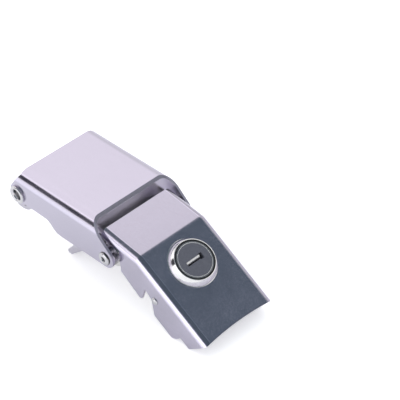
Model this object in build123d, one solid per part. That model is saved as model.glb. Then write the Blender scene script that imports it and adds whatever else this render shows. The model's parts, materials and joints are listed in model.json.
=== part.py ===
from build123d import *
import os
from math import asin, atan2, cos, degrees, hypot, radians, sin, tan

# A key-locked draw latch for the lid of a metal top box, folded from stainless sheet.
# Lengths are in millimetres. While it is drawn, x runs along the housing from its left edge,
# y runs across with 0 in the middle, and z is 0 on the housing's top.
# The whole latch is moved at the end, so that it stands on z = 0.

# Sheets, gaps and fits
sheet = 1.2
bracket_sheet = 2.0
nest_gap = 0.1
running_fit = 0.05

# Housing
housing_width = 46.0
housing_length = 46.5
housing_bend = 6.05
cheek_depth = 20.35
cheek_reach = 60.4
cheek_corner = 5.1
front_drop = 4.4
cheek_foot_start = 25.6
cheek_step_end = 17.0
cheek_step_depth = 15.6
neck_drop = 1.6

# Hook axle and claw
axle_x = -1.05
axle_drop = 11.8
axle_radius = 3.0
axle_rim = 0.66
axle_dish = 2.3
axle_dish_depth = 1.6
ear_radius = 5.2
claw_outer = 8.6
claw_band = 2.0
claw_hub = 4.7
claw_side_gap = 0.2
claw_angles = (212.0, 318.0)
claw_shank_angle = 246.0
spring_wire = 0.8
spring_pitch = 1.0
spring_turns = 4.25
spring_clear = 0.5

# Hinge between housing and lever
hinge_x = 55.14
hinge_drop = 15.8
hinge_pin_radius = 2.0
hinge_head_radius = 3.2
hinge_head_height = 1.1
hinge_dimple_radius = 1.35
hinge_dimple_depth = 1.3
hinge_inner_head = 3.1
hinge_spacer_radius = 4.6

# Lever: first facet, bend line and second facet
lever_side_gap = 1.9
lever_bend = 3.3
lever_start = (50.92, -4.99)
lever_knee = (72.7, -8.3)
lever_tilt = 32.67
facet_length = 46.0
knee_radius = 6.0
finger_arc_depth = 1.35
cover_strip = 3.6
cover_cheek_x = 61.3
lever_depth = 17.95
lever_front_depth = 18.3
lever_front_end = 11.9
notch_top = 10.3
notch_end = 15.6
foot_start = 20.75
foot_end = 34.6
foot_corner = 2.2
step_depth = 12.1
step_end = 41.2

# Lever frame, nested under the cover
frame_start_x = 42.8
frame_ear = 6.2
frame_pivot_ear = 4.2
frame_end = 20.0
cover_rivet_at = (16.9, -9.8)
cover_rivet_radius = 1.1
cover_rivet_head = 1.8
cover_rivet_proud = 0.9

# Base bracket: u runs along its plate from the pivot, w rises from the box wall
pivot_x = 48.5
pivot_drop = 11.8
pivot_radius = 2.0
pivot_head_radius = 2.9
pivot_head_height = 0.9
wall_depth = 20.5
bracket_length = 42.0
washer_space = 2.2
bracket_bend = 2.6
bracket_corner = 4.0
bracket_ear = 3.6
flange_end_height = 2.9
mount_hole_radius = 2.1
mount_hole_offset = 7.0
mount_end_gap = 12.0
strike_at = 15.0
strike_width = 8.0
strike_lip = 5.0
strike_gap = 0.65

# Lock
lock_at = 13.87
bezel_radius = 11.2
bezel_top_radius = 9.5
bezel_bore = 9.0
bezel_height = 3.8
bezel_lip = 0.7
seal_width = 0.7
barrel_radius = 8.0
barrel_length = 12.5
barrel_flat = 14.6
plug_face_radius = 7.5
plug_ring_width = 0.4
plug_radius = 6.0
face_sink = 0.35
head_depth = 2.1
key_slot = (1.8, 8.7)
key_slot_end = (2.7, 1.9)
key_depth = 12.0
tail_side = 6.0
tail_length = 1.7
cam_hub_radius = 7.0
cam_length = 14.5
cam_width = 9.0
cam_sheet = 1.6
cam_washer_sheet = 0.6
screw_head_radius = 3.4
screw_head_height = 2.1
screw_radius = 1.9
tumbler = (4.3, 10.7, 1.0)
tumbler_pitch = 2.1
tumbler_count = 4
tumbler_first = 1.2
nut_flats = 22.0
nut_height = 3.2
tooth_washer_radius = 11.4
tooth_washer_sheet = 0.8
tooth_count = 12

# Worked out from the driving dimensions
axle_z = -axle_drop
hinge_z = -hinge_drop
pivot_z = -pivot_drop
half_housing = housing_width / 2
half_lever = half_housing - sheet - lever_side_gap
lever_width = 2 * half_lever
cover_inner = half_lever - sheet
frame_outer = cover_inner - nest_gap
frame_inner = frame_outer - sheet
bracket_width = 2 * (frame_inner - washer_space)
mount_centre = bracket_length - mount_end_gap
first_tilt = degrees(atan2(lever_start[1] - lever_knee[1], lever_knee[0] - lever_start[0]))
along = (cos(radians(lever_tilt)), -sin(radians(lever_tilt)))
across = (sin(radians(lever_tilt)), cos(radians(lever_tilt)))


def on_lever(s, n):
    """Point at s along the second facet from the bend line and n above its outer face."""
    x = lever_knee[0] + s * along[0] + n * across[0]
    z = lever_knee[1] + s * along[1] + n * across[1]
    return x, z


def lever_place(x, z):
    """The s and n of a point in the side view."""
    dx, dz = x - lever_knee[0], z - lever_knee[1]
    return dx * along[0] + dz * along[1], dx * across[0] + dz * across[1]


def side_face(*points):
    return make_face(Polyline(*points, close=True))


def slab(sketch, y_low, y_high):
    """A side-view sketch, drawn in x and z, made a plate between two y planes."""
    return extrude(Plane.XZ.offset(-y_high) * sketch, y_high - y_low)


def cheek_pair(sketch, inner, outer):
    return slab(sketch, inner, outer) + slab(sketch, -outer, -inner)


def turned(*points):
    """A solid turned about z from radius and height points."""
    return revolve(Plane.XZ * make_face(Polyline(*points, close=True)), Axis.Z)


def pin_along_y(x, z, y_start, points, direction=1):
    """A turned solid laid along y, its heights counted outwards from y_start."""
    plane = Plane(origin=(x, y_start, z), x_dir=(1, 0, 0), z_dir=(0, direction, 0))
    return plane * turned(*points)


def wedge(centre, start, end, reach):
    """A side-view sector between two angles in degrees."""
    steps = [start + (end - start) * i / 4 for i in range(5)]
    rim = [(reach * cos(radians(a)), reach * sin(radians(a))) for a in steps]
    return Pos(centre[0], centre[1]) * side_face((0, 0), *rim)


def hull(*shapes):
    edges = []
    for shape in shapes:
        edges.extend(shape.edges())
    return make_hull(edges)


def disc(centre, radius):
    return Pos(centre[0], centre[1]) * Circle(radius)


# Housing
def housing_section(width, bend, depth):
    """A channel section, open below, with rounded upper corners."""
    block = Pos(0, -depth) * Rectangle(width, 2 * depth)
    upper = block.vertices().sort_by(Axis.Y)[-2:]
    return fillet(upper, bend)


def housing_outline():
    bottom = -cheek_depth
    corner = disc((cheek_reach - cheek_corner, bottom + cheek_corner), cheek_corner)
    front = hull(
        corner,
        Line((cheek_foot_start + 8, 0), (housing_length, 0)),
        Line((housing_length, 0), (housing_length, -front_drop)),
        Line((cheek_foot_start + 8, bottom), (cheek_foot_start + 10, bottom)),
    )
    step = (cheek_step_end, -cheek_step_depth)
    foot = (cheek_foot_start, bottom)
    edge = (
        Line((0, 0), (cheek_foot_start + 9, 0))
        + Line((cheek_foot_start + 9, 0), (cheek_foot_start + 9, bottom))
        + Line((cheek_foot_start + 9, bottom), foot)
        + Spline(foot, step, tangents=((-1, 0), (-1, 0.12)))
        + Line(step, (axle_x, -cheek_step_depth))
        + Line((axle_x, -cheek_step_depth), (axle_x, axle_z))
        + Line((axle_x, axle_z), (0, axle_z))
        + Line((0, axle_z), (0, 0))
    )
    rear = make_face(edge)
    ear = hull(disc((axle_x, axle_z), ear_radius), Line((0, -neck_drop), (ear_radius, -neck_drop)))
    return front + rear + ear


def make_housing():
    reach = ear_radius + 2
    length = cheek_reach + 2 * reach
    depth = cheek_depth + reach
    outer = housing_section(housing_width, housing_bend, depth)
    inner = housing_section(housing_width - 2 * sheet, housing_bend - sheet, depth)
    start = Plane.YZ.offset(-reach)
    folded = extrude(start * outer, length)
    folded -= extrude(start * (Pos(0, -sheet) * inner), length)
    body = folded & slab(housing_outline(), -half_housing, half_housing)
    holes = disc((axle_x, axle_z), axle_radius) + disc((hinge_x, hinge_z), hinge_pin_radius)
    return body - slab(holes, -housing_width, housing_width)


def make_hook_axle():
    """A tubular rivet with a rolled rim and a dished end on each side."""
    half = half_housing + axle_rim
    rim_middle = axle_radius + axle_rim
    points = (
        (0, 0),
        (rim_middle, 0),
        (rim_middle, axle_rim),
        (axle_radius, axle_rim),
        (axle_radius, 2 * half - axle_rim),
        (rim_middle, 2 * half - axle_rim),
        (rim_middle, 2 * half),
        (0, 2 * half),
    )
    shank = pin_along_y(axle_x, axle_z, -half, points)
    rims = Part()
    dishes = Part()
    for side in (-1, 1):
        ring = Plane(origin=(axle_x, side * half, axle_z), z_dir=(0, side, 0)) * Torus(rim_middle, axle_rim)
        rims += ring
        dishes += pin_along_y(
            axle_x,
            axle_z,
            side * half,
            ((0, 1), (axle_dish + 0.3, 1), (axle_dish, -axle_dish_depth), (0, -axle_dish_depth)),
            side,
        )
    return shank + rims - dishes


def make_claw():
    centre = (axle_x, axle_z)
    band = disc(centre, claw_outer) - disc(centre, claw_outer - claw_band)
    hook = band & wedge(centre, *claw_angles, 2 * claw_outer)
    shank = disc(centre, claw_outer) & wedge(centre, claw_angles[0], claw_shank_angle, 2 * claw_outer)
    tip_radius = claw_outer - claw_band / 2
    tip_angle = radians(claw_angles[1])
    tip = disc((axle_x + tip_radius * cos(tip_angle), axle_z + tip_radius * sin(tip_angle)), claw_band / 2)
    side = disc(centre, claw_hub) + shank + hook + tip - disc(centre, axle_radius + running_fit)
    outer = half_housing - sheet - claw_side_gap
    plates = cheek_pair(side, outer - sheet, outer)
    web = disc(centre, claw_outer) - disc(centre, claw_outer - sheet)
    web &= wedge(centre, claw_angles[0], claw_shank_angle, 2 * claw_outer)
    return plates + slab(web, -outer, outer)


def make_claw_spring():
    """Torsion coil round the axle, one leg up to the housing, one down to the claw's web."""
    coil_radius = axle_radius + spring_clear + spring_wire / 2
    wire = spring_wire / 2
    start = -(half_housing - housing_bend) + spring_wire
    helix = Helix(spring_pitch, spring_pitch * spring_turns, coil_radius)
    path = Plane(origin=(axle_x, start, axle_z), x_dir=(1, 0, 0), z_dir=(0, 1, 0)) * helix
    section = Plane(origin=path @ 0, z_dir=path % 0) * Circle(wire)
    coil = sweep(section, path=path, is_frenet=True)
    foot = (Align.CENTER, Align.CENTER, Align.MIN)
    up = axle_drop - sheet - wire - 2 * nest_gap
    leg_up = Plane(origin=path @ 0, z_dir=-(path % 0)) * Cylinder(wire, up, align=foot)
    reach = claw_outer - sheet - wire - nest_gap
    drop = (reach**2 - coil_radius**2) ** 0.5
    leg_down = Plane(origin=path @ 1, z_dir=path % 1) * Cylinder(wire, drop, align=foot)
    return coil + leg_up + leg_down


# Hinge between housing and lever
def make_hinge_rivet(side):
    head, tall = hinge_head_radius, hinge_head_height
    inner = frame_inner - nest_gap
    pin = hinge_pin_radius
    depth = half_housing - inner
    end = depth + tall * 0.8
    points = (
        (0, tall - hinge_dimple_depth),
        (hinge_dimple_radius * 0.55, tall - hinge_dimple_depth),
        (hinge_dimple_radius, tall),
        (head * 0.62, tall),
        (head * 0.88, tall * 0.7),
        (head, 0),
        (pin, 0),
        (pin, -depth),
        (hinge_inner_head, -depth),
        (hinge_inner_head * 0.8, -end),
        (0, -end),
    )
    return pin_along_y(hinge_x, hinge_z, side * half_housing, points, side)


def make_hinge_spacer(side):
    low = frame_outer + nest_gap
    high = half_housing - sheet
    ring = disc((hinge_x, hinge_z), hinge_spacer_radius) - disc((hinge_x, hinge_z), hinge_pin_radius)
    return slab(ring, min(side * low, side * high), max(side * low, side * high))


# Lever
def lever_path_sketch(offset, start_x, below):
    """The lever's side view, offset inwards from its outer faces and closed far below."""
    half_turn = radians(lever_tilt - first_tilt) / 2
    middle = radians(lever_tilt + first_tilt) / 2
    shrink = offset / cos(half_turn)
    knee = (lever_knee[0] - shrink * sin(middle), lever_knee[1] - shrink * cos(middle))
    start = (start_x, knee[1] + (knee[0] - start_x) * tan(radians(first_tilt)))
    end = on_lever(facet_length + offset, -offset)
    path = side_face(start, knee, end, (end[0], -below), (start_x, -below))
    corner = path.vertices().sort_by_distance(Vector(knee[0], knee[1], 0))[:1]
    return fillet(corner, max(knee_radius - offset, 0.4))


def lever_block(offset, start_x):
    """The filled lever form with rounded long edges."""
    half = half_lever - offset
    below = 4 * lever_depth
    block = slab(lever_path_sketch(offset, start_x, below), -half, half)
    upright = block.edges().filter_by(Axis.Z)
    long_edges = [
        e
        for e in block.edges()
        if abs(abs(e.center().Y) - half) < 0.001 and e.center().Z > -0.9 * below and e not in upright
    ]
    return fillet(long_edges, max(lever_bend - offset, 0.4))


def cover_outline():
    """What is kept of the cover, with its cut-back ear, notch, foot and step."""
    start_x, start_z = lever_start
    slope = tan(radians(first_tilt))
    lean = sin(radians(first_tilt))
    strip_z = start_z - cover_strip
    cheek_z = strip_z - (cover_cheek_x - start_x) * slope
    front_low = lever_place(cover_cheek_x, hinge_z - frame_ear + 0.7)
    points = [
        (start_x + 2 * lean, start_z + 2),
        (start_x - cover_strip * lean, strip_z),
        (cover_cheek_x, cheek_z),
        on_lever(*front_low),
        on_lever(lever_front_end - 1, -lever_front_depth),
        on_lever(lever_front_end, -lever_front_depth + 1),
        on_lever(notch_top + 0.2, -notch_top - 0.6),
        on_lever(notch_top + 0.6, -notch_top),
        on_lever(notch_end, -notch_top - 1.2),
        on_lever(foot_start, -lever_depth),
        on_lever(foot_end - foot_corner, -lever_depth),
        on_lever(foot_end - 0.3, -lever_depth + foot_corner),
        on_lever(foot_end + 0.9, -step_depth),
        on_lever(step_end, -step_depth),
        on_lever(facet_length, 0),
        on_lever(facet_length + 1, 3),
        on_lever(0, 8),
    ]
    return side_face(*points)


def finger_arc():
    """The shallow concave cut across the lever's end."""
    radius = (half_lever**2 + finger_arc_depth**2) / (2 * finger_arc_depth)
    centre = on_lever(facet_length - finger_arc_depth + radius, -lever_depth)
    plane = Plane(origin=(centre[0], 0, centre[1]), x_dir=(along[0], 0, along[1]), z_dir=(across[0], 0, across[1]))
    return plane * Cylinder(radius, 3 * lever_depth)


def side_holes(places, radius):
    holes = Sketch()
    for place in places:
        holes += disc(place, radius)
    return holes


def make_lever_cover():
    start = lever_start[0] - 2
    shell = lever_block(0, start) - lever_block(sheet, start)
    cover = shell & slab(cover_outline(), -half_lever, half_lever)
    cover -= finger_arc()
    cover -= lock_plane() * Cylinder(barrel_radius + running_fit, 4 * sheet)
    rivets = side_holes([on_lever(*cover_rivet_at)], cover_rivet_radius)
    return cover - slab(rivets, -lever_width, lever_width)


def make_lever_frame():
    """The inner channel that carries both hinges under the cover."""
    drop = sheet + nest_gap
    shell = lever_block(drop, frame_start_x) - lever_block(drop + sheet, frame_start_x - 1)
    top_z = lever_start[1] + 1
    hinge = (hinge_x, hinge_z)
    pivot = (pivot_x, pivot_z)
    ears = hull(
        disc(hinge, frame_ear),
        disc(pivot, frame_pivot_ear),
        Line((frame_start_x, top_z), (frame_start_x, pivot_z + 2)),
        Line((frame_start_x, top_z), (cover_cheek_x, top_z)),
    )
    arm_top = -(drop + 2 * sheet)
    roof = side_face(
        (hinge_x, top_z), on_lever(-1, 2), on_lever(-1, -step_depth), (hinge_x, hinge_z)
    )
    arm = side_face(
        (hinge_x + 2, hinge_z + 4),
        on_lever(-3, arm_top),
        on_lever(frame_end, arm_top),
        on_lever(frame_end, -notch_top - 1.9),
        on_lever(notch_end + 0.9, -notch_top - 1.9),
        on_lever(notch_end - 0.6, -notch_top + 0.1),
        on_lever(notch_top - 1.5, -notch_top + 0.1),
        on_lever(notch_top - 1.5, -lever_front_depth + 2.2),
        on_lever(-3, -lever_front_depth + 2.6),
        (hinge_x + 2, hinge_z - 3),
    )
    frame = shell & slab(ears + roof + arm, -half_lever, half_lever)
    turning = side_holes([hinge, pivot], pivot_radius + running_fit)
    rivets = side_holes([on_lever(*cover_rivet_at)], cover_rivet_radius)
    return frame - slab(turning + rivets, -lever_width, lever_width)


def make_cover_rivet(side):
    depth = half_lever - frame_inner
    head = cover_rivet_head
    points = (
        (0, cover_rivet_proud),
        (head * 0.5, cover_rivet_proud * 0.95),
        (head * 0.85, cover_rivet_proud * 0.6),
        (head, 0),
        (cover_rivet_radius, 0),
        (cover_rivet_radius, -depth),
        (head, -depth),
        (head * 0.8, -depth - 0.6),
        (0, -depth - 0.6),
    )
    place = on_lever(*cover_rivet_at)
    return pin_along_y(place[0], place[1], side * half_lever, points, side)


# Base bracket
pivot_height = wall_depth + lever_place(pivot_x, pivot_z)[1]
stand_points = [on_lever(foot_end - foot_corner, -lever_depth), on_lever(step_end, -step_depth)]
stand_z = min(point[1] for point in stand_points)
drop_to_floor = pivot_z - stand_z
lean = atan2(pivot_height - bracket_sheet, bracket_length)
reach_to_tip = hypot(bracket_length, pivot_height - bracket_sheet)
bracket_slope = degrees(lean + asin(drop_to_floor / reach_to_tip))


def bracket_plane():
    """Frame of the bracket as it hangs open: x is u, z is w, origin under the pivot."""
    c, s = cos(radians(bracket_slope)), sin(radians(bracket_slope))
    origin = (pivot_x - pivot_height * s, 0, pivot_z + pivot_height * c)
    return Plane(origin=origin, x_dir=(-c, 0, -s), z_dir=(s, 0, -c))


def make_base_bracket():
    half = bracket_width / 2
    tall = pivot_height + bracket_ear + 2
    block = Pos(0, tall) * Rectangle(bracket_width, 2 * tall)
    outer = fillet(block.vertices().sort_by(Axis.Y)[:2], bracket_bend)
    hollow = Pos(0, tall + bracket_sheet) * Rectangle(bracket_width - 2 * bracket_sheet, 2 * tall)
    inner = fillet(hollow.vertices().sort_by(Axis.Y)[:2], bracket_bend - bracket_sheet)
    start = Plane.YZ.offset(-2 * bracket_ear)
    folded = extrude(start * outer, bracket_length + 2 * bracket_ear)
    folded -= extrude(start * inner, bracket_length + 2 * bracket_ear)
    flange_end = bracket_length - bracket_corner
    flanges = hull(
        disc((0, pivot_height), bracket_ear),
        Line((1, 0), (flange_end, 0)),
        Line((flange_end, 0), (flange_end, flange_end_height)),
    )
    plate = side_face((1, 0), (bracket_length, 0), (bracket_length, bracket_sheet), (1, bracket_sheet))
    body = folded & slab(flanges + plate, -half, half)
    plan = Pos(bracket_length / 2 - bracket_ear, 0) * Rectangle(bracket_length + 2 * bracket_ear, bracket_width)
    plan = fillet(plan.vertices().sort_by(Axis.X)[-2:], bracket_corner)
    body &= extrude(Pos(0, 0, -1) * plan, tall)
    strike_top = wall_depth - barrel_length - nest_gap + strike_gap + bracket_sheet
    tongue = side_face(
        (strike_at, 0.5 * bracket_sheet),
        (strike_at, strike_top),
        (strike_at + strike_lip, strike_top),
        (strike_at + strike_lip, strike_top - bracket_sheet),
        (strike_at + bracket_sheet, strike_top - bracket_sheet),
        (strike_at + bracket_sheet, 0.5 * bracket_sheet),
    )
    tongue = fillet(tongue.vertices().sort_by(Axis.X)[:2].sort_by(Axis.Y)[-1:], bracket_sheet)
    window_length = strike_top + strike_lip - 2 * bracket_sheet
    window_middle = strike_at + bracket_sheet + window_length / 2
    body -= Pos(window_middle, 0, 0) * Box(window_length, strike_width, 3 * bracket_sheet)
    body += slab(tongue, -strike_width / 2, strike_width / 2)
    for du in (-mount_hole_offset, mount_hole_offset):
        for dy in (-mount_hole_offset, mount_hole_offset):
            body -= Pos(mount_centre + du, dy, 0) * Cylinder(mount_hole_radius, 3 * bracket_sheet)
    body -= slab(disc((0, pivot_height), pivot_radius), -bracket_width, bracket_width)
    return bracket_plane() * body


def make_pivot_pin():
    half = frame_outer + nest_gap
    tall, head = pivot_head_height, pivot_head_radius
    points = (
        (0, tall),
        (head * 0.6, tall),
        (head, tall * 0.3),
        (head, 0),
        (pivot_radius, 0),
        (pivot_radius, -2 * half),
        (head, -2 * half),
        (head, -2 * half - tall * 0.3),
        (head * 0.6, -2 * half - tall),
        (0, -2 * half - tall),
    )
    return pin_along_y(pivot_x, pivot_z, half, points)


def make_pivot_washers():
    ring = disc((pivot_x, pivot_z), pivot_head_radius + 0.4) - disc((pivot_x, pivot_z), pivot_radius)
    return cheek_pair(ring, bracket_width / 2, frame_inner - nest_gap)


# Lock, drawn on its own axis with height 0 on the lever's outer face
def lock_plane():
    x, z = on_lever(lock_at, 0)
    return Plane(origin=(x, 0, z), x_dir=(along[0], 0, along[1]), z_dir=(across[0], 0, across[1]))


seal_inner = bezel_bore - seal_width
plug_ring_outer = plug_face_radius + plug_ring_width
plug_top = bezel_height - face_sink
cam_top = -barrel_length - nest_gap


def make_lock_bezel():
    return turned(
        (bezel_bore, 0),
        (bezel_radius, 0),
        (bezel_radius, bezel_lip),
        (bezel_top_radius, bezel_height - 0.3),
        (bezel_top_radius - 0.2, bezel_height),
        (bezel_bore + 0.1, bezel_height),
        (bezel_bore, bezel_height - 0.2),
    )


def make_lock_seal():
    top = plug_top + 0.1
    return turned((seal_inner, 0), (bezel_bore, 0), (bezel_bore, top - 0.2), (seal_inner + 0.2, top), (seal_inner, top))


def make_lock_barrel():
    """Zinc body: face ring, threaded shank with two flats, stepped bore."""
    counterbore = plug_ring_outer + running_fit
    floor = plug_top - head_depth - running_fit
    bore = plug_radius + running_fit
    body = turned(
        (bore, -barrel_length),
        (barrel_radius - 0.5, -barrel_length),
        (barrel_radius, -barrel_length + 0.5),
        (barrel_radius, 0),
        (seal_inner, 0),
        (seal_inner, plug_top),
        (counterbore, plug_top),
        (counterbore, floor),
        (bore, floor),
    )
    shank = barrel_length + 1
    for side in (-1, 1):
        offset = side * (barrel_flat + barrel_radius) / 2
        body -= Pos(0, offset, -sheet - nut_height - tooth_washer_sheet - shank / 2) * Box(
            2 * barrel_radius, barrel_radius, shank
        )
    return body


def make_plug_ring():
    low = plug_top - head_depth
    return turned(
        (plug_face_radius, low),
        (plug_ring_outer, low),
        (plug_ring_outer, plug_top + 0.05),
        (plug_ring_outer - 0.1, plug_top + 0.15),
        (plug_face_radius + 0.1, plug_top + 0.15),
        (plug_face_radius, plug_top + 0.05),
    )


def keyway(grow=0.0):
    """The key slot in plan: a straight slot with a wider end on the far side."""
    straight = Rectangle(key_slot[0] + 2 * grow, key_slot[1] + 2 * grow)
    wide_y = key_slot[1] / 2 - key_slot_end[1] / 2
    wide = Pos(0, wide_y) * Rectangle(key_slot_end[0] + 2 * grow, key_slot_end[1] + 2 * grow)
    return straight + wide


def tumbler_heights():
    return [-tumbler_first - i * tumbler_pitch for i in range(tumbler_count)]


def make_lock_plug():
    low = plug_top - head_depth
    body = turned(
        (0, cam_top),
        (plug_radius, cam_top),
        (plug_radius, low),
        (plug_face_radius, low),
        (plug_face_radius, plug_top - 0.1),
        (plug_face_radius - 0.1, plug_top),
        (0, plug_top),
    )
    tail_middle = cam_top - tail_length / 2
    body += Pos(0, 0, tail_middle) * Box(tail_side, tail_side, tail_length)
    body -= extrude(Pos(0, 0, plug_top - key_depth) * keyway(), key_depth + 1)
    for height in tumbler_heights():
        body -= Pos(0, 0, height) * Box(tumbler[0] + 0.1, tumbler[1] + 0.1, tumbler[2] + 0.1)
    screw_hole = plug_top - key_depth - cam_top + tail_length - 0.5
    body -= Pos(0, 0, cam_top - tail_length) * Cylinder(
        screw_radius, screw_hole, align=(Align.CENTER, Align.CENTER, Align.MIN)
    )
    return body


def make_tumblers():
    """Wafers that the key lifts, each with a window as wide as the key slot."""
    wafer = Box(*tumbler) - extrude(Pos(0, 0, -tumbler[2]) * keyway(0.1), 2 * tumbler[2])
    wafers = Part()
    for height in tumbler_heights():
        wafers += Pos(0, 0, height) * wafer
    return wafers


def make_key_shutter():
    """Thin spring flap just under the face that keeps dirt out of the key slot."""
    top = plug_top - 0.9
    return extrude(Pos(0, 0, top - 0.5) * keyway(-running_fit), 0.5)


def make_tooth_washer():
    top = -sheet
    ring = Circle(tooth_washer_radius - 0.9) - Circle(barrel_radius + running_fit)
    tooth = Pos(tooth_washer_radius - 1.0, 0) * Rectangle(2.0, 2.6)
    teeth = Sketch()
    for i in range(tooth_count):
        teeth += Rot(0, 0, 360 * i / tooth_count) * tooth
    outline = (ring + teeth) & Circle(tooth_washer_radius)
    return extrude(Pos(0, 0, top - tooth_washer_sheet) * outline, tooth_washer_sheet)


def make_lock_nut():
    top = -sheet - tooth_washer_sheet
    outline = RegularPolygon(nut_flats / 2, 6, major_radius=False) - Circle(barrel_radius + running_fit)
    nut = extrude(Pos(0, 0, top - nut_height) * outline, nut_height)
    crown = turned(
        (0, top),
        (nut_flats / 2 + 0.8, top),
        (nut_flats / 2 + 1.6, top - 0.5),
        (nut_flats / 2 + 1.6, top - nut_height + 0.5),
        (nut_flats / 2 + 0.8, top - nut_height),
        (0, top - nut_height),
    )
    return nut & crown


def make_lock_cam():
    """Flat cam, drawn unlocked: its arm points across the lever, to the near side."""
    arm = Pos(0, -cam_length / 2 + cam_width / 4) * Rectangle(cam_width, cam_length - cam_width / 2)
    outline = Circle(cam_hub_radius) + arm + Pos(0, -cam_length + cam_width / 2) * Circle(cam_width / 2)
    outline -= Rectangle(tail_side + 2 * running_fit, tail_side + 2 * running_fit)
    return extrude(Pos(0, 0, cam_top - cam_sheet) * outline, cam_sheet)


def make_cam_washer():
    top = cam_top - tail_length
    ring = Circle(tail_side * 0.8) - Circle(screw_radius)
    return extrude(Pos(0, 0, top - cam_washer_sheet) * ring, cam_washer_sheet)


def make_cam_screw():
    top = cam_top - tail_length - cam_washer_sheet
    head, tall = screw_head_radius, screw_head_height
    grip = plug_top - key_depth - top - 0.5
    screw = turned(
        (0, top + grip),
        (screw_radius, top + grip),
        (screw_radius, top),
        (head, top),
        (head, top - tall * 0.6),
        (head * 0.75, top - tall),
        (0, top - tall),
    )
    for angle in (0, 90):
        screw -= Pos(0, 0, top - tall) * Rot(0, 0, angle) * Box(head * 1.1, 0.9, tall)
    return screw


def lock_parts():
    parts = {
        "lock_bezel": make_lock_bezel(),
        "lock_seal": make_lock_seal(),
        "lock_barrel": make_lock_barrel(),
        "tooth_washer": make_tooth_washer(),
        "lock_nut": make_lock_nut(),
        "lock_plug": make_lock_plug(),
        "plug_ring": make_plug_ring(),
        "key_shutter": make_key_shutter(),
        "tumblers": make_tumblers(),
        "lock_cam": make_lock_cam(),
        "cam_washer": make_cam_washer(),
        "cam_screw": make_cam_screw(),
    }
    plane = lock_plane()
    return {name: plane * part for name, part in parts.items()}


def build_all():
    parts = {
        "housing": make_housing(),
        "hook_axle": make_hook_axle(),
        "claw": make_claw(),
        "claw_spring": make_claw_spring(),
        "hinge_rivet_near": make_hinge_rivet(-1),
        "hinge_rivet_far": make_hinge_rivet(1),
        "hinge_spacer_near": make_hinge_spacer(-1),
        "hinge_spacer_far": make_hinge_spacer(1),
        "lever_cover": make_lever_cover(),
        "lever_frame": make_lever_frame(),
        "cover_rivet_near": make_cover_rivet(-1),
        "cover_rivet_far": make_cover_rivet(1),
        "base_bracket": make_base_bracket(),
        "pivot_pin": make_pivot_pin(),
        "pivot_washers": make_pivot_washers(),
    }
    parts.update(lock_parts())
    return parts


parts = build_all()
boxes = [part.bounding_box() for part in parts.values()]
middle_x = (min(b.min.X for b in boxes) + max(b.max.X for b in boxes)) / 2
floor_z = min(b.min.Z for b in boxes)
stand = Pos(-middle_x, 0, -floor_z)

os.makedirs("parts", exist_ok=True)
for name, part in parts.items():
    export_step(stand * part, f"parts/{name}.step")
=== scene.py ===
import json
from math import atan2, pi, radians

import bpy
from mathutils import Matrix, Vector


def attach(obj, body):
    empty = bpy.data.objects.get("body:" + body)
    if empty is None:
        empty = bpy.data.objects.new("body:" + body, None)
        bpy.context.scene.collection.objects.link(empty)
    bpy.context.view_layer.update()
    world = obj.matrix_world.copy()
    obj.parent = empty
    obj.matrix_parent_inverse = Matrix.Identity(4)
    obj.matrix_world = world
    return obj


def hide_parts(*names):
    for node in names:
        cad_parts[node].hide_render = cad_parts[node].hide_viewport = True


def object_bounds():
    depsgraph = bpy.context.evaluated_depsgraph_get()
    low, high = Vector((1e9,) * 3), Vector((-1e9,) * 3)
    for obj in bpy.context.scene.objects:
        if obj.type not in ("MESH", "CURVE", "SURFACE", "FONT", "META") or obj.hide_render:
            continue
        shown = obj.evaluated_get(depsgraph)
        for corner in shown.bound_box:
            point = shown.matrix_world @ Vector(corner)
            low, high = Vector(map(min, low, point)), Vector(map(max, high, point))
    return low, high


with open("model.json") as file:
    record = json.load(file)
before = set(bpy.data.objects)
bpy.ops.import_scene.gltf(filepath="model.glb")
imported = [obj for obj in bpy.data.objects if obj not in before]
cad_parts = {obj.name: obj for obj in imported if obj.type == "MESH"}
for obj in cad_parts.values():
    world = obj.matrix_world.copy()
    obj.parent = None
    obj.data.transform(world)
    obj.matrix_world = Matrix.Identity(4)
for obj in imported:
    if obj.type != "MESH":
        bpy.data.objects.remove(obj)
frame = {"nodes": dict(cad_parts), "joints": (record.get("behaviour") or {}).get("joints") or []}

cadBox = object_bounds()
bpy.ops.object.select_all(action="DESELECT")
scene = bpy.context.scene
mm = 0.001

# Where the axles and the lock sit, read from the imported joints
joints = {joint["name"]: joint for joint in frame["joints"]}
hingeCentre = Vector(joints["draw_pivot"]["pos_m"])
axleCentre = Vector(joints["claw_swing"]["pos_m"])
lockCentre = Vector(joints["plug_turn"]["pos_m"])
lockOut = -Vector(joints["plug_turn"]["axis"]).normalized()
leverAlong = Vector((lockOut.z, 0, -lockOut.x))
leverTurn = (0, atan2(lockOut.x, lockOut.z), 0)
outwards = Vector((0, -1, 0))  # the way the near cheek faces


# Material building blocks

def newMaterial(name):
    material = bpy.data.materials.new(name)
    material.use_nodes = True
    tree = material.node_tree
    tree.nodes.clear()
    output = tree.nodes.new("ShaderNodeOutputMaterial")
    shader = tree.nodes.new("ShaderNodeBsdfPrincipled")
    tree.links.new(shader.outputs["BSDF"], output.inputs["Surface"])
    return material, tree, shader


def objectSpace(tree, scale=(1, 1, 1), turn=(0, 0, 0), shift=(0, 0, 0)):
    coordinates = tree.nodes.new("ShaderNodeTexCoord")
    mapping = tree.nodes.new("ShaderNodeMapping")
    mapping.inputs["Scale"].default_value = scale
    mapping.inputs["Rotation"].default_value = turn
    mapping.inputs["Location"].default_value = shift
    tree.links.new(coordinates.outputs["Object"], mapping.inputs["Vector"])
    return mapping.outputs["Vector"]


def splitPlace(tree):
    parts = tree.nodes.new("ShaderNodeSeparateXYZ")
    tree.links.new(objectSpace(tree), parts.inputs["Vector"])
    return parts.outputs


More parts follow.
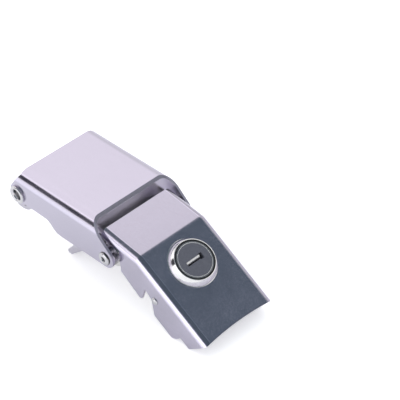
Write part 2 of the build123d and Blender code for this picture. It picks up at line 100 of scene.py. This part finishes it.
def noise(tree, vector, scale, detail, roughness=0.5):
    node = tree.nodes.new("ShaderNodeTexNoise")
    node.inputs["Scale"].default_value = scale
    node.inputs["Detail"].default_value = detail
    node.inputs["Roughness"].default_value = roughness
    tree.links.new(vector, node.inputs["Vector"])
    return node.outputs["Fac"]


def remap(tree, value, low, high, fromLow=0.3, fromHigh=0.7):
    # a noise keeps mostly between 0.3 and 0.7, and a mask runs from 0 to 1
    node = tree.nodes.new("ShaderNodeMapRange")
    node.inputs["From Min"].default_value = fromLow
    node.inputs["From Max"].default_value = fromHigh
    node.inputs["To Min"].default_value = low
    node.inputs["To Max"].default_value = high
    tree.links.new(value, node.inputs["Value"])
    return node.outputs["Result"]


def fade(tree, mask, low, high):
    return remap(tree, mask, low, high, 0, 1)


def mixColour(tree, factor, first, second):
    node = tree.nodes.new("ShaderNodeMix")
    node.data_type = "RGBA"
    tree.links.new(factor, node.inputs["Factor"])
    node.inputs["A"].default_value = (*first, 1)
    node.inputs["B"].default_value = (*second, 1)
    return node.outputs["Result"]


def mathNode(tree, operation, first, second=0.0):
    node = tree.nodes.new("ShaderNodeMath")
    node.operation = operation
    for socket, value in zip(node.inputs, (first, second)):
        if isinstance(value, (int, float)):
            socket.default_value = value
        else:
            tree.links.new(value, socket)
    return node.outputs["Value"]


def bump(tree, shader, height, strength, depth, before=None):
    # depth in millimetres; a bump that comes before stays under this one
    node = tree.nodes.new("ShaderNodeBump")
    node.inputs["Strength"].default_value = strength
    node.inputs["Distance"].default_value = depth * mm
    tree.links.new(height, node.inputs["Height"])
    if before is not None:
        tree.links.new(before, node.inputs["Normal"])
    tree.links.new(node.outputs["Normal"], shader.inputs["Normal"])
    return node.outputs["Normal"]


def channelDepth(tree, half, bend, top):
    # how far a point lies under the outer skin of a channel that is open below
    place = splitPlace(tree)
    reach = mathNode(tree, "ABSOLUTE", place["Y"])
    side = mathNode(tree, "MAXIMUM", mathNode(tree, "SUBTRACT", reach, half - bend))
    upper = mathNode(tree, "MAXIMUM", mathNode(tree, "SUBTRACT", place["Z"], top - bend))
    sideSquare = mathNode(tree, "MULTIPLY", side, side)
    upperSquare = mathNode(tree, "MULTIPLY", upper, upper)
    square = mathNode(tree, "ADD", sideSquare, upperSquare)
    return mathNode(tree, "SUBTRACT", bend, mathNode(tree, "SQRT", square))


def paintedBendLight(tree, half, bend, stops):
    # painted highlight and shade across a long bend, from the line where the flat ends to the
    # cheek
    reach = mathNode(tree, "ABSOLUTE", splitPlace(tree)["Y"])
    across = remap(tree, reach, 0, 1, (half - bend) * mm, half * mm)
    ramp = tree.nodes.new("ShaderNodeValToRGB")
    tree.links.new(across, ramp.inputs["Fac"])
    for place, tone in stops[1:-1]:
        ramp.color_ramp.elements.new(place)
    for element, (place, tone) in zip(ramp.color_ramp.elements, stops):
        element.position = place
        element.color = (tone, tone, tone, 1)
    return ramp.outputs["Color"]


def hollowShadeMask(tree, centre, radius, low, high):
    # 1 near an axle's line and close to the cheek, 0 further out: where the shade is painted
    away = objectSpace(tree, (1, 0, 1), (0, 0, 0), (-centre.x, 0, -centre.z))
    radial = tree.nodes.new("ShaderNodeVectorMath")
    radial.operation = "LENGTH"
    tree.links.new(away, radial.inputs[0])
    near = mathNode(tree, "LESS_THAN", radial.outputs["Value"], radius * mm)
    reach = mathNode(tree, "ABSOLUTE", splitPlace(tree)["Y"])
    return mathNode(tree, "MULTIPLY", near, remap(tree, reach, 1, 0, low * mm, high * mm))


# Noises are scale, detail and roughness; sheet depths are in millimetres
metalSkin = {
    "streaks": (1.0, 4, 0.65),
    "clouds": (60, 3, 0.55),
    "fine": (2600, 2, 0.6),
    "spots": (1300, 3, 0.6),
    "streakGloss": (-0.02, 0.03),
    "frostRange": (0.3, 0.62),
    "bumpDepth": 0.02,
    "innerDepth": (0.25, 0.95),
    "innerGloss": 0.15,
    "rimStart": (0.04, 0.12),
    "rimEnd": (1.0, 1.12),
}


def metal(
    name, light, dark, roughness, grain, grainScale, grainTurn=(0, 0, 0), speck=0.25,
    mottle=0.04, cloud=0.015, frost=0.0, inside=None, hollowShade=None, bendLightPaint=None,
):
    # rolled or brushed metal: long faint streaks, fine grain, clouded gloss
    material, tree, shader = newMaterial(name)
    shader.inputs["Metallic"].default_value = 1
    streaks = noise(tree, objectSpace(tree, grainScale, grainTurn), *metalSkin["streaks"])
    clouds = noise(tree, objectSpace(tree), *metalSkin["clouds"])
    fine = noise(tree, objectSpace(tree), *metalSkin["fine"])
    spots = noise(tree, objectSpace(tree), *metalSkin["spots"])
    spotTone = remap(tree, spots, 1 - mottle, 1 + mottle)
    cloudTone = remap(tree, clouds, 1 - cloud, 1 + cloud)
    tone = mathNode(tree, "MULTIPLY", spotTone, cloudTone)
    streakGloss = remap(tree, streaks, *metalSkin["streakGloss"])
    gloss = mathNode(tree, "ADD", remap(tree, clouds, *roughness), streakGloss)
    if frost:
        frostGloss = remap(tree, spots, 0, frost, *metalSkin["frostRange"])
        gloss = mathNode(tree, "ADD", gloss, frostGloss)
    if hollowShade is not None:
        # painted shade in the hollow of a rivet head and round its foot
        paintedShade = hollowShadeMask(tree, **hollowShade["place"])
        tone = mathNode(tree, "MULTIPLY", tone, fade(tree, paintedShade, 1, hollowShade["tone"]))
    if inside is not None:
        # the inner side of the folded sheet is left unpolished, so duller, and painted shade
        # makes it a little darker
        depth = channelDepth(tree, inside["half"] * mm, inside["bend"] * mm, inside["top"])
        innerLow, innerHigh = metalSkin["innerDepth"]
        inner = remap(tree, depth, 0, 1, innerLow * mm, innerHigh * mm)
        tone = mathNode(tree, "MULTIPLY", tone, fade(tree, inner, 1, inside["tone"]))
        gloss = mathNode(tree, "ADD", gloss, fade(tree, inner, 0, metalSkin["innerGloss"]))
        # the sheared edge of the sheet, between its two faces, is rougher than they are, and
        # painted shade darkens it
        rimFirst = remap(tree, depth, 0, 1, *(value * mm for value in metalSkin["rimStart"]))
        rimLast = remap(tree, depth, 1, 0, *(value * mm for value in metalSkin["rimEnd"]))
        rim = mathNode(tree, "MULTIPLY", rimFirst, rimLast)
        gloss = mathNode(tree, "ADD", gloss, fade(tree, rim, 0, inside["rimGloss"]))
        tone = mathNode(tree, "MULTIPLY", tone, fade(tree, rim, 1, inside["rimTone"]))
    # painted highlight and shade across the long bends of the sheet
    if bendLightPaint is not None:
        tone = mathNode(tree, "MULTIPLY", tone, paintedBendLight(tree, **bendLightPaint))
    paint = tree.nodes.new("ShaderNodeVectorMath")
    paint.operation = "SCALE"
    colour = mixColour(tree, remap(tree, streaks, 0, 1), dark, light)
    tree.links.new(colour, paint.inputs["Vector"])
    tree.links.new(tone, paint.inputs["Scale"])
    tree.links.new(paint.outputs["Vector"], shader.inputs["Base Color"])
    tree.links.new(gloss, shader.inputs["Roughness"])
    first = bump(tree, shader, streaks, grain, metalSkin["bumpDepth"])
    bump(tree, shader, fine, grain * speck, metalSkin["bumpDepth"], first)
    return material


plainSkin = {
    "mottleDetail": (4, 0.6),
    "broadShare": 0.08,
    "broadDetail": (2, 0.5),
    "bumpDepth": 0.03,
    "threadStrength": 0.8,
    "threadDepth": 0.2,
}


def threadHeight(tree, origin, axis, pitch, below):
    # a thread's crests along an axis, flat above the given height
    along = tree.nodes.new("ShaderNodeVectorMath")
    along.operation = "DOT_PRODUCT"
    tree.links.new(objectSpace(tree, shift=tuple(-origin)), along.inputs[0])
    along.inputs[1].default_value = axis
    height = along.outputs["Value"]
    wave = mathNode(tree, "SINE", mathNode(tree, "MULTIPLY", height, 2 * pi / pitch))
    return mathNode(tree, "MULTIPLY", wave, mathNode(tree, "LESS_THAN", height, below))


def plain(name, light, dark, roughness, scale, grain, metallic=0.0, coat=0.0, thread=None):
    # moulded plastic, rubber or a cast surface
    material, tree, shader = newMaterial(name)
    shader.inputs["Metallic"].default_value = metallic
    shader.inputs["Coat Weight"].default_value = coat
    mottled = noise(tree, objectSpace(tree), scale, *plainSkin["mottleDetail"])
    broadScale = scale * plainSkin["broadShare"]
    broad = noise(tree, objectSpace(tree), broadScale, *plainSkin["broadDetail"])
    colour = mixColour(tree, remap(tree, mottled, 0, 1), dark, light)
    tree.links.new(colour, shader.inputs["Base Color"])
    tree.links.new(remap(tree, broad, *roughness), shader.inputs["Roughness"])
    skin = bump(tree, shader, mottled, grain, plainSkin["bumpDepth"])
    if thread is not None:
        crests = threadHeight(tree, **thread)
        bump(tree, shader, crests, plainSkin["threadStrength"], plainSkin["threadDepth"], skin)
    return material


# Finishes of the folded sheet

sheetSteel = {
    "light": (0.62, 0.59, 0.695),
    "dark": (0.57, 0.54, 0.645),
    "roughness": (0.13, 0.19),
    "grain": 0.06,
    "grainScale": (120, 2600, 2600),
}
housingFinish = {
    "light": (0.61, 0.58, 0.685),
    "dark": (0.594, 0.566, 0.668),
    "mottle": 0.015,
    # painted shade on the inner side of the channel and on its cut edge
    "inside": {
        "half": 23.0,
        "bend": 6.05,
        "top": cadBox[1][2],
        "tone": 0.92,
        "rimGloss": 0.3,
        "rimTone": 0.75,
    },
    # painted highlight: a bright band on the outer part of the bend
    "bendLightPaint": {
        "half": 23.0,
        "bend": 6.05,
        "stops": ((0.0, 1.0), (0.5, 1.0), (0.66, 1.35), (0.96, 1.35), (0.99, 1.0)),
    },
}
leverFinish = {
    "grainTurn": leverTurn,
    "grain": 0.3,
    "speck": 0.9,
    "mottle": 0.05,
    "cloud": 0.06,
    "frost": 0.06,
    # painted light across the bend: a thin highlight where it starts, shade over its middle, a
    # bright band before the cheek
    "bendLightPaint": {
        "half": 19.9,
        "bend": 3.3,
        "stops": (
            (0.0, 1.0), (0.035, 1.6), (0.09, 0.85), (0.5, 0.8),
            (0.66, 1.4), (0.96, 1.4), (0.99, 1.0),
        ),
    },
}
# the inner frame and the wall bracket are lighter copies of the sheet steel, painted light where
# they sit in shade; the claw's is a little darker, painted shade
frameFinish = {"light": (0.82, 0.81, 0.79), "dark": (0.74, 0.73, 0.72), "grain": 0.3}
bracketFinish = {"light": (0.72, 0.7, 0.78), "dark": (0.64, 0.62, 0.7)}
clawFinish = {"light": (0.6, 0.58, 0.65), "dark": (0.53, 0.51, 0.58)}
housingSteel = metal("housing_steel", **{**sheetSteel, **housingFinish})
clawSteel = metal("claw_steel", **{**sheetSteel, **clawFinish})
leverSteel = metal("lever_steel", **{**sheetSteel, **leverFinish})
frameSteel = metal("frame_steel", **{**sheetSteel, **frameFinish})
bracketSteel = metal("bracket_steel", **{**sheetSteel, **bracketFinish})

# Finishes of the rivets, with painted shade in each hollow and round each foot

headSteel = {
    "light": (0.74, 0.73, 0.75),
    "dark": (0.66, 0.66, 0.68),
    "roughness": (0.12, 0.2),
    "grain": 0.12,
    "grainScale": (700, 700, 700),
}
rivetFinish = {"light": (0.7, 0.69, 0.71), "dark": (0.6, 0.6, 0.62)}
hingeFinish = {
    "hollowShade": {
        "place": {"centre": hingeCentre, "radius": 3.6, "low": 23.15, "high": 23.75},
        "tone": 0.12,
    },
}
axleFinish = {
    "roughness": (0.1, 0.18),
    "hollowShade": {
        "place": {"centre": axleCentre, "radius": 2.6, "low": 22.4, "high": 23.4},
        "tone": 0.25,
    },
}
rivetSteel = metal("rivet_steel", **{**headSteel, **rivetFinish})
hingeSteel = metal("hinge_rivet_steel", **{**headSteel, **hingeFinish})
axleSteel = metal("axle_steel", **{**headSteel, **axleFinish})

# Finishes of the lock, the spring and the washers

chrome = metal(
    "bezel_chrome",
    light=(0.95, 0.95, 0.94),
    dark=(0.89, 0.89, 0.88),
    roughness=(0.07, 0.13),
    grain=0.05,
    grainScale=(500, 500, 500),
)
barrelThread = {"origin": lockCentre, "axis": lockOut, "pitch": 1.0 * mm, "below": -0.3 * mm}
zinc = plain(
    "zinc_casting",
    light=(0.5, 0.51, 0.53),
    dark=(0.38, 0.39, 0.41),
    roughness=(0.3, 0.42),
    scale=1800,
    grain=0.25,
    metallic=1.0,
    thread=barrelThread,
)
platedSteel = metal(
    "plated_steel",
    light=(0.7, 0.7, 0.68),
    dark=(0.52, 0.53, 0.52),
    roughness=(0.28, 0.42),
    grain=0.2,
    grainScale=(900, 900, 900),
)
seal = plain(
    "seal_rubber",
    light=(0.018, 0.018, 0.02),
    dark=(0.008, 0.008, 0.009),
    roughness=(0.5, 0.7),
    scale=3000,
    grain=0.3,
)
plugCap = plain(
    "plug_cap",
    light=(0.135, 0.14, 0.172),
    dark=(0.092, 0.097, 0.122),
    roughness=(0.3, 0.42),
    scale=1500,
    grain=0.2,
    coat=0.15,
)
slotSteel = metal(
    "slot_steel",
    light=(0.8, 0.8, 0.8),
    dark=(0.66, 0.66, 0.66),
    roughness=(0.25, 0.35),
    grain=0.1,
    grainScale=(900, 900, 900),
)
trim = metal(
    "ring_chrome",
    light=(0.95, 0.95, 0.95),
    dark=(0.85, 0.85, 0.85),
    roughness=(0.1, 0.2),
    grain=0.05,
    grainScale=(900, 900, 900),
)
nylon = plain(
    "washer_nylon",
    light=(0.78, 0.77, 0.72),
    dark=(0.68, 0.67, 0.62),
    roughness=(0.4, 0.55),
    scale=900,
    grain=0.2,
)
brass = metal(
    "wafer_brass",
    light=(0.78, 0.6, 0.3),
    dark=(0.62, 0.45, 0.2),
    roughness=(0.25, 0.38),
    grain=0.2,
    grainScale=(200, 2600, 2600),
)
springSteel = metal(
    "spring_steel",
    light=(0.62, 0.62, 0.63),
    dark=(0.45, 0.45, 0.46),
    roughness=(0.22, 0.34),
    grain=0.2,
    grainScale=(1200, 1200, 1200),
)
print("materials ready", len(bpy.data.materials))


# Ways of making a piece

def onlySelect(obj):
    bpy.ops.object.select_all(action="DESELECT")
    obj.select_set(True)
    bpy.context.view_layer.objects.active = obj


def applyPlace():
    bpy.ops.object.transform_apply(location=True, rotation=True, scale=True)


def selectMesh():
    bpy.ops.object.mode_set(mode="EDIT")
    bpy.ops.mesh.select_all(action="SELECT")


def finishPiece(obj, name, material, body, replaced):
    obj.name = name
    obj.data.name = name
    obj.data.materials.clear()
    obj.data.materials.append(material)
    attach(obj, body)
    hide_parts(replaced)
    obj.select_set(False)


# Distances in millimetres, angles in degrees
edgeWork = {
    "mergeWithin": 0.002,
    "flatWithin": 0.6,
    "bevelSteps": 2,
    "sharpAbove": 32,
    "smoothBelow": 28,
    "faceWeight": 80,
}


def evenNormals(obj):
    # wide flat faces keep their own direction, the narrow rounded ones take up the turn
    weighted = obj.modifiers.new("even normals", "WEIGHTED_NORMAL")
    weighted.mode = "FACE_AREA"
    weighted.weight = edgeWork["faceWeight"]
    weighted.keep_sharp = True
    bpy.ops.object.modifier_apply(modifier=weighted.name)


def roundedFrom(node, name, material, body, slotName, width):
    # the node's own form, its triangles joined into faces and its cut edges broken
    obj = bpy.data.objects.new(name, frame["nodes"][node].data.copy())
    scene.collection.objects.link(obj)
    onlySelect(obj)
    selectMesh()
    bpy.ops.mesh.customdata_custom_splitnormals_clear()
    bpy.ops.mesh.remove_doubles(threshold=edgeWork["mergeWithin"] * mm)
    bpy.ops.mesh.dissolve_limited(angle_limit=radians(edgeWork["flatWithin"]))
    bpy.ops.object.mode_set(mode="OBJECT")
    edges = obj.modifiers.new("broken edges", "BEVEL")
    edges.width = width * mm
    edges.segments = edgeWork["bevelSteps"]
    edges.limit_method = "ANGLE"
    edges.angle_limit = radians(edgeWork["sharpAbove"])
    edges.miter_outer = "MITER_ARC"
    bpy.ops.object.modifier_apply(modifier=edges.name)
    bpy.ops.object.shade_smooth_by_angle(angle=radians(edgeWork["smoothBelow"]))
    evenNormals(obj)
    finishPiece(obj, name, material, body, node)


lathe = {"poleRadius": 0.01, "mergeWithin": 0.02, "smoothBelow": 40}


def turnedPiece(profile, centre, axis, sides):
    # a circle at the first point, then one extrude and one scale for each further point
    points = [(max(radius, lathe["poleRadius"]), height) for radius, height in profile]
    radius, height = points[0]
    bpy.ops.mesh.primitive_circle_add(
        vertices=sides,
        radius=radius * mm,
        fill_type="NOTHING",
        location=(0, 0, height * mm),
    )
    obj = bpy.context.object
    applyPlace()
    selectMesh()
    for nextRadius, nextHeight in points[1:]:
        rise = (0, 0, (nextHeight - height) * mm)
        bpy.ops.mesh.extrude_edges_move(TRANSFORM_OT_translate={"value": rise})
        factor = nextRadius / radius
        middle = (0, 0, nextHeight * mm)
        bpy.ops.transform.resize(value=(factor, factor, 1), center_override=middle)
        radius, height = nextRadius, nextHeight
    bpy.ops.mesh.select_all(action="SELECT")
    bpy.ops.mesh.remove_doubles(threshold=lathe["mergeWithin"] * mm)
    bpy.ops.mesh.normals_make_consistent(inside=False)
    bpy.ops.object.mode_set(mode="OBJECT")
    turn = axis.to_track_quat("Z", "Y").to_matrix().to_4x4()
    obj.matrix_world = Matrix.Translation(centre) @ turn
    applyPlace()
    bpy.ops.object.shade_smooth_by_angle(angle=radians(lathe["smoothBelow"]))
    return obj


# Folded sheet pieces

sheetPieces = {
    "housing_shell": {
        "node": "housing",
        "material": housingSteel,
        "body": "draw",
        "width": 0.08,
    },
    "lever_shell": {
        "node": "lever_cover",
        "material": leverSteel,
        "body": "lever",
        "width": 0.14,
    },
    "lever_channel": {
        "node": "lever_frame",
        "material": frameSteel,
        "body": "lever",
        "width": 0.18,
    },
    "wall_bracket": {
        "node": "base_bracket",
        "material": bracketSteel,
        "body": "base",
        "width": 0.25,
    },
    "claw_hook": {
        "node": "claw",
        "material": clawSteel,
        "body": "claw",
        "width": 0.14,
    },
}
for name, values in sheetPieces.items():
    roundedFrom(name=name, slotName="stainless_sheet", **values)
print("sheet pieces ready", len(sheetPieces))


# Turned pieces of the lock; profiles are radius and height above the lever

lockSides = 128
lockFace = {
    "bezel_cone": {
        "node": "lock_bezel",
        "material": chrome,
        "body": "lever",
        "slotName": "chrome_bezel",
        "profile": (
            (9.02, 0.02), (11.05, 0.02), (11.18, 0.1), (11.18, 0.3), (11.05, 0.38),
            (10.3, 0.42), (10.3, 0.78), (10.86, 0.84), (10.96, 0.9), (10.94, 1.0),
            (9.62, 3.22), (9.5, 3.4), (9.42, 3.6), (9.3, 3.72), (9.16, 3.75),
            (9.06, 3.68), (9.02, 3.55), (9.02, 0.02),
        ),
    },
    "seal_ring": {
        "node": "lock_seal",
        "material": seal,
        "body": "lever",
        "slotName": "rubber_seal",
        "profile": (
            (8.32, 0.02), (8.98, 0.02), (8.98, 3.3), (8.9, 3.44), (8.76, 3.51),
            (8.58, 3.52), (8.42, 3.46), (8.34, 3.34), (8.32, 3.2), (8.32, 0.02),
        ),
    },
    "face_ring": {
        "node": "plug_ring",
        "material": trim,
        "body": "plug",
        "slotName": "plug_trim",
        "profile": (
            (7.51, 1.38), (7.88, 1.38), (7.89, 3.42), (7.86, 3.52), (7.78, 3.58),
            (7.66, 3.58), (7.56, 3.53), (7.52, 3.44), (7.51, 1.38),
        ),
    },
}
for name, values in lockFace.items():
    piece = turnedPiece(values["profile"], lockCentre, lockOut, lockSides)
    finishPiece(
        piece, name, values["material"], values["body"], values["node"]
    )
print("lock face ready", len(lockFace))


# Rivets, turned about the cross direction; heights run outwards from the cheek

def middleOf(node):
    corners = [Vector(corner) for corner in frame["nodes"][node].bound_box]
    low = Vector(min(corner[axis] for corner in corners) for axis in range(3))
    high = Vector(max(corner[axis] for corner in corners) for axis in range(3))
    return (low + high) / 2


def rivetPair(pieces, centre, cheek, profile, material, body):
    # modelled once for the near side, then copied and mirrored for the far side
    foot = Vector((centre.x, -cheek * mm, centre.z))
    near = turnedPiece(profile, foot, outwards, rivetSides)
    onlySelect(near)
    bpy.ops.object.duplicate(linked=False)
    far = bpy.context.object
    bpy.ops.transform.mirror(
        orient_type="GLOBAL", constraint_axis=(False, True, False), center_override=(0, 0, 0)
    )
    applyPlace()
    selectMesh()
    bpy.ops.mesh.normals_make_consistent(inside=False)
    bpy.ops.object.mode_set(mode="OBJECT")
    for piece, (name, node) in zip((near, far), pieces.items()):
        finishPiece(piece, name, material, body, node)


rivetSides = 72
hingeRivet = {
    "pieces": {"near_hinge_rivet": "hinge_rivet_near", "far_hinge_rivet": "hinge_rivet_far"},
    "centre": hingeCentre,
    "cheek": 23.0,
    "profile": (
        (0.0, -0.9), (0.8, -0.9), (0.95, -0.8), (1.26, 0.9), (1.36, 1.03), (1.5, 1.1),
        (1.9, 1.09), (2.35, 1.0), (2.75, 0.8), (3.02, 0.52), (3.14, 0.22), (3.12, 0.04),
        (2.98, 0.01), (1.98, 0.01), (1.98, -5.68), (3.0, -5.71), (3.08, -5.85),
        (2.6, -6.48), (0.0, -6.54),
    ),
    "material": hingeSteel,
    "body": "draw",
}
coverRivet = {
    "pieces": {"near_cover_rivet": "cover_rivet_near", "far_cover_rivet": "cover_rivet_far"},
    "centre": middleOf("cover_rivet_near"),
    "cheek": 19.9,
    "profile": (
        (0.0, 0.89), (0.5, 0.88), (1.0, 0.8), (1.4, 0.6), (1.68, 0.34), (1.78, 0.12),
        (1.76, 0.02), (1.1, 0.01), (1.1, -2.49), (1.76, -2.51), (1.78, -2.62),
        (1.5, -3.02), (0.0, -3.08),
    ),
    "material": rivetSteel,
    "body": "lever",
}
rivetPair(**hingeRivet)
rivetPair(**coverRivet)

# a tube whose ends are rolled over like a horn; heights run from the middle plane
axleRivet = {
    "sides": 96,
    "end": (
        (0.0, 22.08), (1.85, 22.08), (2.12, 22.16), (2.28, 22.4), (2.38, 22.9), (2.5, 23.5),
        (2.7, 23.9), (2.98, 24.16), (3.3, 24.28), (3.66, 24.31), (4.0, 24.22), (4.22, 23.98),
        (4.31, 23.66), (4.22, 23.34), (4.05, 23.12), (3.85, 23.01), (2.99, 23.0),
    ),
}
otherEnd = tuple((radius, -height) for radius, height in reversed(axleRivet["end"]))
axle = turnedPiece(axleRivet["end"] + otherEnd, axleCentre, outwards, axleRivet["sides"])
finishPiece(axle, "axle_tube", axleSteel, "draw", "hook_axle")
print("rivets ready")


# Key slot: a spring flap leans away from the face and closes the slot

shutterFlap = {
    "size": (1.5, 7.3, 0.16),
    "lean": 34,
    "middle": (-0.3, -0.62, 2.95),
    "edge": 0.05,
    "edgeSteps": 2,
    "smoothBelow": 30,
}
lockMatrix = Matrix((leverAlong, Vector((0, 1, 0)), lockOut)).transposed().to_4x4()
lockMatrix.translation = lockCentre

bpy.ops.mesh.primitive_cube_add(size=1)
flap = bpy.context.object
flap.scale = Vector(shutterFlap["size"]) * mm
applyPlace()
flap.rotation_euler = (0, radians(shutterFlap["lean"]), 0)
flap.location = Vector(shutterFlap["middle"]) * mm
applyPlace()
selectMesh()
bpy.ops.mesh.bevel(
    offset=shutterFlap["edge"] * mm, segments=shutterFlap["edgeSteps"], affect="EDGES"
)
bpy.ops.object.mode_set(mode="OBJECT")
flap.matrix_world = lockMatrix
applyPlace()
bpy.ops.object.shade_smooth_by_angle(angle=radians(shutterFlap["smoothBelow"]))
finishPiece(flap, "shutter_flap", slotSteel, "plug", "key_shutter")
print("key slot ready")


# CAD nodes whose edges are broken, and those that keep their own form

plated = {"material": platedSteel, "slotName": "zinc_yellow_steel"}
brokenPieces = {
    "barrel": {
        "node": "lock_barrel",
        "material": zinc,
        "body": "lever",
        "slotName": "zinc_barrel",
        "width": 0.06,
    },
    "star_washer": {"node": "tooth_washer", "body": "lever", "width": 0.1, **plated},
    "barrel_nut": {"node": "lock_nut", "body": "lever", "width": 0.2, **plated},
    "plug_body": {
        "node": "lock_plug",
        "material": plugCap,
        "body": "plug",
        "slotName": "plug_face",
        "width": 0.07,
    },
    "cam_arm": {"node": "lock_cam", "body": "plug", "width": 0.2, **plated},
    "screw_washer": {"node": "cam_washer", "body": "plug", "width": 0.08, **plated},
    "screw": {"node": "cam_screw", "body": "plug", "width": 0.12, **plated},
}
for name, values in brokenPieces.items():
    roundedFrom(name=name, **values)
print("small pieces ready", len(brokenPieces))

# every node gets a finish; the nodes named here are the ones that stay in view
keptFinishes = {
    "hinge_spacer_near": rivetSteel,
    "hinge_spacer_far": rivetSteel,
    "pivot_pin": rivetSteel,
    "pivot_washers": nylon,
    "claw_spring": springSteel,
    "tumblers": brass,
}
for node in frame["nodes"]:
    nodeMaterials = frame["nodes"][node].data.materials
    nodeMaterials.clear()
    nodeMaterials.append(keptFinishes.get(node, platedSteel))
print("kept nodes dressed", len(keptFinishes))


# Floor: a little under the part, and brighter to the camera than the metal sees it

sweep = {
    "size": 8.0,
    "drop": 0.2,
    "colour": (0.93, 0.93, 0.94),
    "shade": 0.99,
    "clouds": (3, 2),
    "roughness": 0.9,
    "lift": 0.5,
}
bpy.ops.mesh.primitive_plane_add(size=sweep["size"], location=(0, 0, -sweep["drop"] * mm))
floor = bpy.context.object
floor.name = "floor"
floorPaint, floorTree, floorShader = newMaterial("floor_paint")
floorClouds = noise(floorTree, objectSpace(floorTree), *sweep["clouds"])
shaded = tuple(part * sweep["shade"] for part in sweep["colour"])
floorColour = mixColour(floorTree, floorClouds, sweep["colour"], shaded)
seen = floorTree.nodes.new("ShaderNodeLightPath").outputs["Is Camera Ray"]
glow = mathNode(floorTree, "MULTIPLY", seen, sweep["lift"])
floorTree.links.new(floorColour, floorShader.inputs["Base Color"])
floorTree.links.new(floorColour, floorShader.inputs["Emission Color"])
floorTree.links.new(glow, floorShader.inputs["Emission Strength"])
floorShader.inputs["Roughness"].default_value = sweep["roughness"]
floorShader.inputs["Specular IOR Level"].default_value = 0.0
floor.data.materials.append(floorPaint)


# Surroundings: a white tent with one bright panel and one dark stand, open and darker overhead

tent = {
    "overhead": (0.13, 0.168, 0.198),
    "walls": (0.91, 0.9, 0.91),
    "opening": {"towards": (0.35, -0.1, 0.931), "edge": (0.8, 0.92)},
    "stand": {"towards": (-0.61, -0.69, 0.393), "edge": (0.2, 0.28)},
    "standColour": (0.04, 0.04, 0.05),
    "panel": {"towards": (-0.62, -0.1, 0.78), "edge": (0.5, 0.95)},
    "panelColour": (1.24, 1.2, 1.22),
}
world = bpy.data.worlds.new("studio")
world.use_nodes = True
sky = world.node_tree
skyPlace = sky.nodes.new("ShaderNodeTexCoord")


def skyMask(towards, edge):
    # 0 round one direction, 1 from the outer end of its soft edge
    away = sky.nodes.new("ShaderNodeVectorMath")
    away.operation = "DISTANCE"
    sky.links.new(skyPlace.outputs["Generated"], away.inputs[0])
    away.inputs[1].default_value = Vector(towards).normalized()
    ramp = sky.nodes.new("ShaderNodeMapRange")
    ramp.interpolation_type = "SMOOTHSTEP"
    ramp.inputs["From Min"].default_value = edge[0]
    ramp.inputs["From Max"].default_value = edge[1]
    sky.links.new(away.outputs["Value"], ramp.inputs["Value"])
    return ramp.outputs["Result"]


def skyMix(factor, inner, outer):
    # the outer side is a colour or what another mix gives
    node = sky.nodes.new("ShaderNodeMix")
    node.data_type = "RGBA"
    sky.links.new(factor, node.inputs["Factor"])
    node.inputs["A"].default_value = (*inner, 1)
    if isinstance(outer, tuple):
        node.inputs["B"].default_value = (*outer, 1)
    else:
        sky.links.new(outer, node.inputs["B"])
    return node.outputs["Result"]


lined = skyMix(skyMask(**tent["panel"]), tent["panelColour"], tent["walls"])
opened = skyMix(skyMask(**tent["opening"]), tent["overhead"], lined)
surroundings = skyMix(skyMask(**tent["stand"]), tent["standColour"], opened)
sky.links.new(surroundings, sky.nodes["Background"].inputs["Color"])
scene.world = world


# Lamps and camera

def hang(name, data):
    holder = bpy.data.objects.new(name, data)
    scene.collection.objects.link(holder)
    return holder


softbox = {
    "towards": (-0.08, -0.93, 0.3),
    "distance": 1.1,
    "size": (1.0, 0.75),
    "power": 1.35,
    "aimShare": 0.3,
    "aimHeight": 10,
}
lamp = bpy.data.lights.new("softbox_front", "AREA")
lamp.shape = "RECTANGLE"
lamp.size, lamp.size_y = softbox["size"]
lamp.energy = softbox["power"]
lampHolder = hang("softbox_front", lamp)
lampWay = Vector(softbox["towards"]).normalized()
aim = lockCentre * softbox["aimShare"] + Vector((0, 0, softbox["aimHeight"] * mm))
lampHolder.location = aim + lampWay * softbox["distance"]
lampHolder.rotation_euler = lampWay.to_track_quat("Z", "Y").to_euler()

# soft light from above that leaves no bright spot on the metal
fill = {"towards": (-0.1, -0.1, 0.98), "strength": 1.65, "softness": 120}
sun = bpy.data.lights.new("fill_sun", "SUN")
sun.energy = fill["strength"]
sun.angle = radians(fill["softness"])
sunHolder = hang("fill_sun", sun)
sunHolder.rotation_euler = Vector(fill["towards"]).to_track_quat("Z", "Y").to_euler()
sunHolder.visible_glossy = False

view = {
    "lens": 155.8,
    "sensor": 36,
    "nearLimit": 0.05,
    "location": (0.438651, -0.354812, 0.502911),
    "turn": (50.42637, 3.06398, 45.76797),
}
camera = bpy.data.cameras.new("camera")
camera.lens = view["lens"]
camera.sensor_width = view["sensor"]
camera.sensor_fit = "HORIZONTAL"
camera.clip_start = view["nearLimit"]
cameraHolder = hang("camera", camera)
cameraHolder.location = view["location"]
cameraHolder.rotation_euler = [radians(angle) for angle in view["turn"]]
scene.camera = cameraHolder
scene.view_settings.view_transform = "Standard"
print("studio ready")
